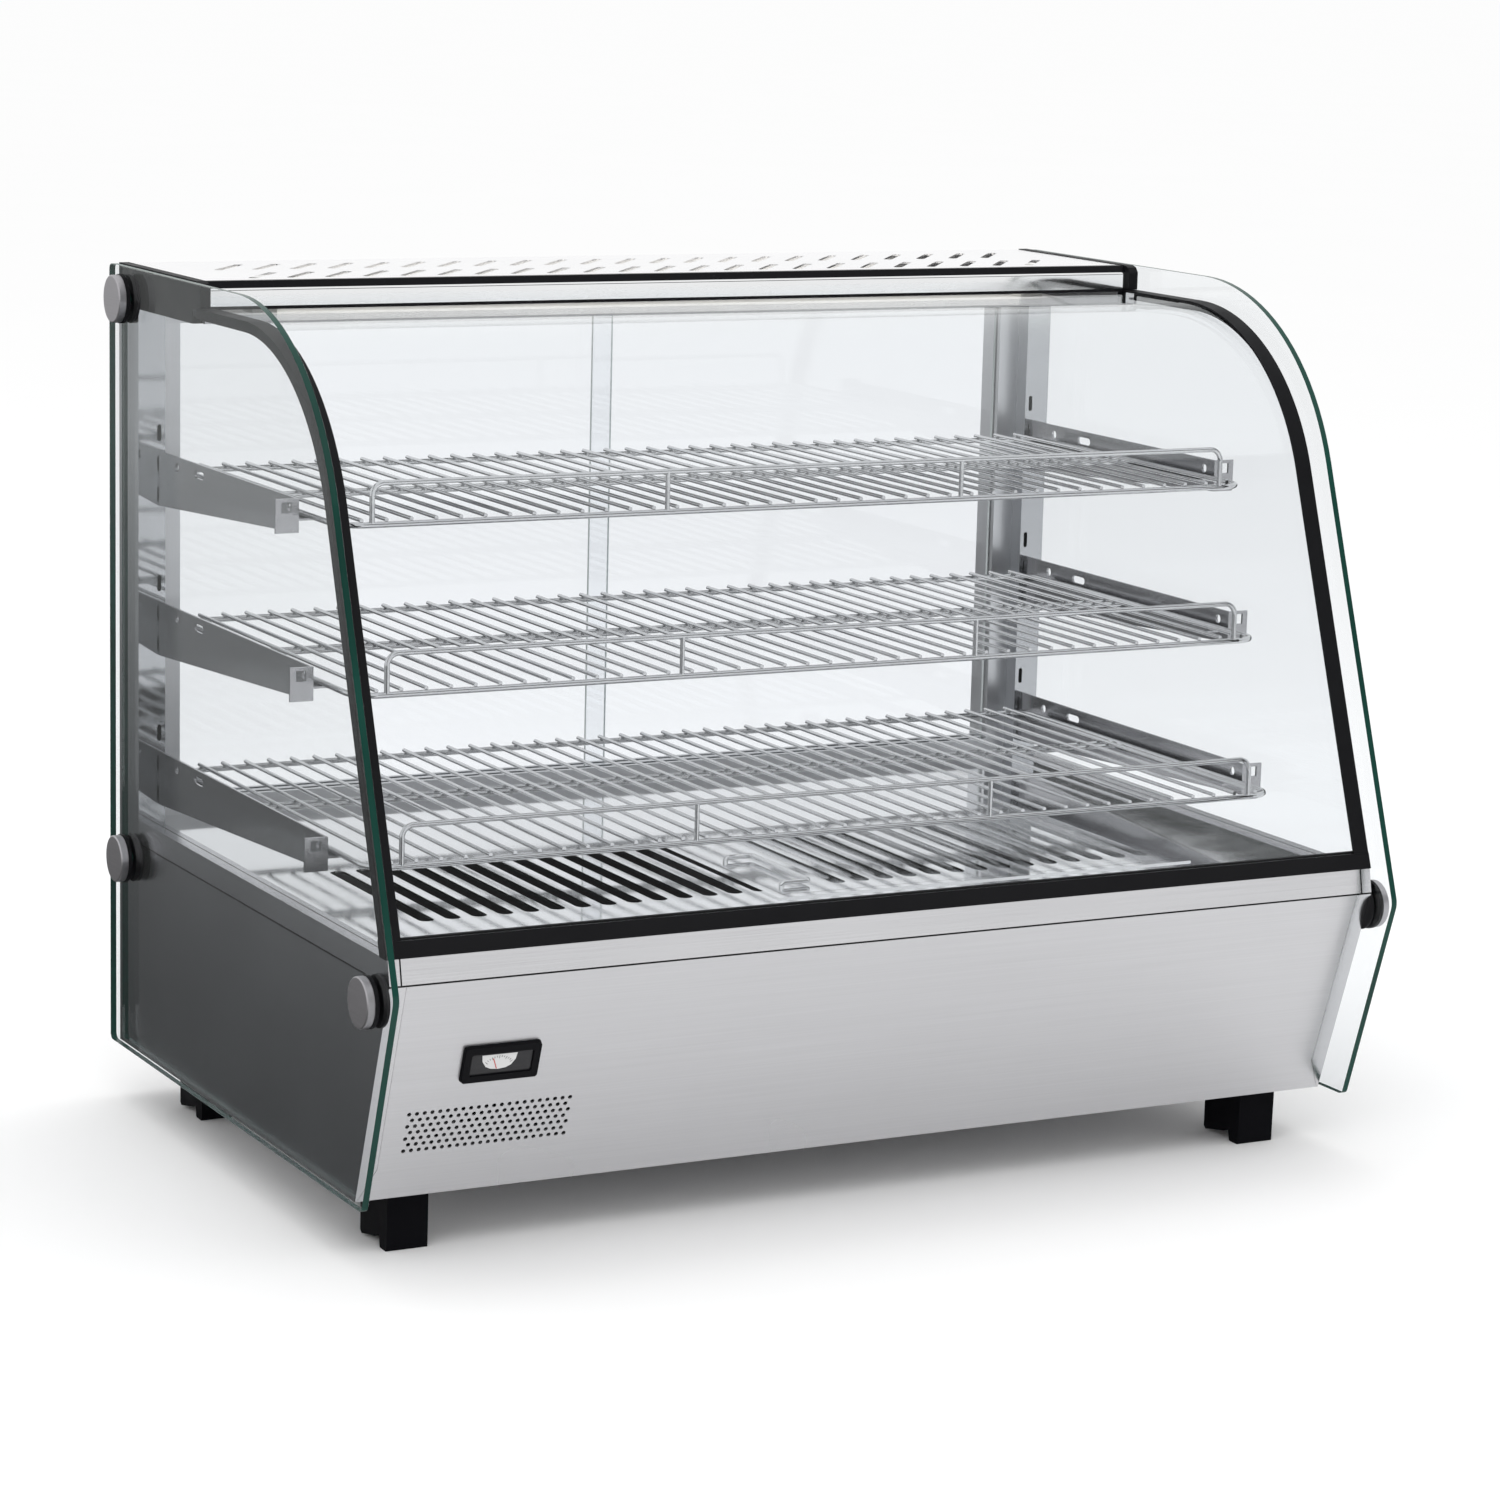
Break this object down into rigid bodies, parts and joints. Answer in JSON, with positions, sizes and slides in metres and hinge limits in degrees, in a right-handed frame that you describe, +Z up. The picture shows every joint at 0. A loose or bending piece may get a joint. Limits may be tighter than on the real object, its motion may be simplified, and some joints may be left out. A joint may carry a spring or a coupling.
{
  "type": "hot food display case",
  "caption": "Countertop heated food display case with curved front glass, wire shelves, a slotted floor over a water tray and sliding glass rear doors.",
  "frame": {"origin": "on the counter, at the centre of the case's outline seen from above", "axes": "+X to the customer's right along the length, +Y to the operator's side at the rear doors, +Z up"},
  "size_m": [0.856, 0.5747, 0.6675],
  "materials": {
    "clear_glass": "clear tempered glass with green edges",
    "brushed_steel": "brushed",
    "polished_steel": "polished stainless",
    "bracket_steel": "satin",
    "chrome_wire": "bright chrome wire",
    "black_rubber": "matt",
    "chrome_caps": "satin chrome",
    "steel_fasteners": "zinc",
    "aluminium": "satin anodised",
    "black_plastic": "matt",
    "window_plastic": "dark gloss",
    "white_plastic": "matt",
    "lamp_glass": "frosted",
    "green_plastic": "gloss",
    "amber_plastic": "gloss",
    "thermostat_body": "matt",
    "element_sheath": "dark oxidised sheath"
  },
  "bodies": {
    "case": {"base_pan": "brushed_steel", "bracket_lower_left": "bracket_steel", "bracket_lower_right": "bracket_steel", "bracket_middle_left": "bracket_steel", "bracket_middle_right": "bracket_steel", "bracket_upper_left": "bracket_steel", "bracket_upper_right": "bracket_steel", "cable_gland": "black_plastic", "control_recess": "brushed_steel", "door_stiles": "aluminium", "door_track_lower": "aluminium", "door_track_upper": "aluminium", "end_gaskets": "black_rubber", "feet": "black_rubber", "floor_plate": "polished_steel", "front_glass": "clear_glass", "front_glass_seals": "black_rubber", "front_panel": "brushed_steel", "glass_bolts": "steel_fasteners", "glass_button_caps": "chrome_caps", "glass_nuts": "steel_fasteners", "glass_washers": "black_rubber", "heat_shield": "brushed_steel", "heating_element": "element_sheath", "housing_cover": "brushed_steel", "housing_front": "brushed_steel", "housing_tray": "brushed_steel", "housing_trim": "black_plastic", "lamp_diffuser": "lamp_glass", "lamp_holders": "white_plastic", "lamp_tube": "lamp_glass", "light_switch": "black_plastic", "power_switch": "black_plastic", "rear_panel": "brushed_steel", "rear_post_left": "polished_steel", "rear_post_right": "polished_steel", "rear_screws": "steel_fasteners", "side_glass_left": "clear_glass", "side_glass_right": "clear_glass", "side_panel_left": "brushed_steel", "side_panel_right": "brushed_steel", "side_seal_left": "black_rubber", "side_seal_right": "black_rubber", "terminal_block": "white_plastic", "thermometer_case": "black_plastic", "thermometer_window": "window_plastic", "thermostat": "thermostat_body", "top_rim": "brushed_steel"},
    "door_left": {"door_left_glass": "clear_glass"},
    "door_right": {"door_right_glass": "clear_glass"},
    "shelf_upper": {"shelf_upper": "chrome_wire"},
    "shelf_middle": {"shelf_middle": "chrome_wire"},
    "shelf_lower": {"shelf_lower": "chrome_wire"},
    "water_tray": {"water_tray": "polished_steel", "tray_lid": "polished_steel"},
    "thermostat_knob": {"thermostat_knob": "black_plastic"},
    "power_rocker": {"power_rocker": "green_plastic"},
    "light_rocker": {"light_rocker": "amber_plastic"}
  },
  "joints": [
    {"name": "door_left_slide", "type": "slide", "parent": "case", "child": "door_left", "axis": [1, 0, 0], "range_m": [0, 0.358]},
    {"name": "door_right_slide", "type": "slide", "parent": "case", "child": "door_right", "axis": [-1, 0, 0], "range_m": [0, 0.358]},
    {"name": "shelf_upper_lift", "type": "slide", "parent": "case", "child": "shelf_upper", "axis": [0, 0, 1], "range_m": [0, 0.04]},
    {"name": "shelf_middle_lift", "type": "slide", "parent": "case", "child": "shelf_middle", "axis": [0, 0, 1], "range_m": [0, 0.06]},
    {"name": "shelf_lower_lift", "type": "slide", "parent": "case", "child": "shelf_lower", "axis": [0, 0, 1], "range_m": [0, 0.06]},
    {"name": "water_tray_lift", "type": "slide", "parent": "case", "child": "water_tray", "axis": [0, 0, 1], "range_m": [0, 0.03]},
    {"name": "thermostat_turn", "type": "hinge", "parent": "case", "child": "thermostat_knob", "pos_m": [0.336, 0.2635, 0.124], "axis": [0, -1, 0], "range_deg": [0, 270]},
    {"name": "power_rock", "type": "hinge", "parent": "case", "child": "power_rocker", "pos_m": [0.28, 0.2605, 0.124], "axis": [-1, 0, 0], "range_deg": [0, 16]},
    {"name": "light_rock", "type": "hinge", "parent": "case", "child": "light_rocker", "pos_m": [0.24, 0.2605, 0.124], "axis": [-1, 0, 0], "range_deg": [0, 16]}
  ]
}
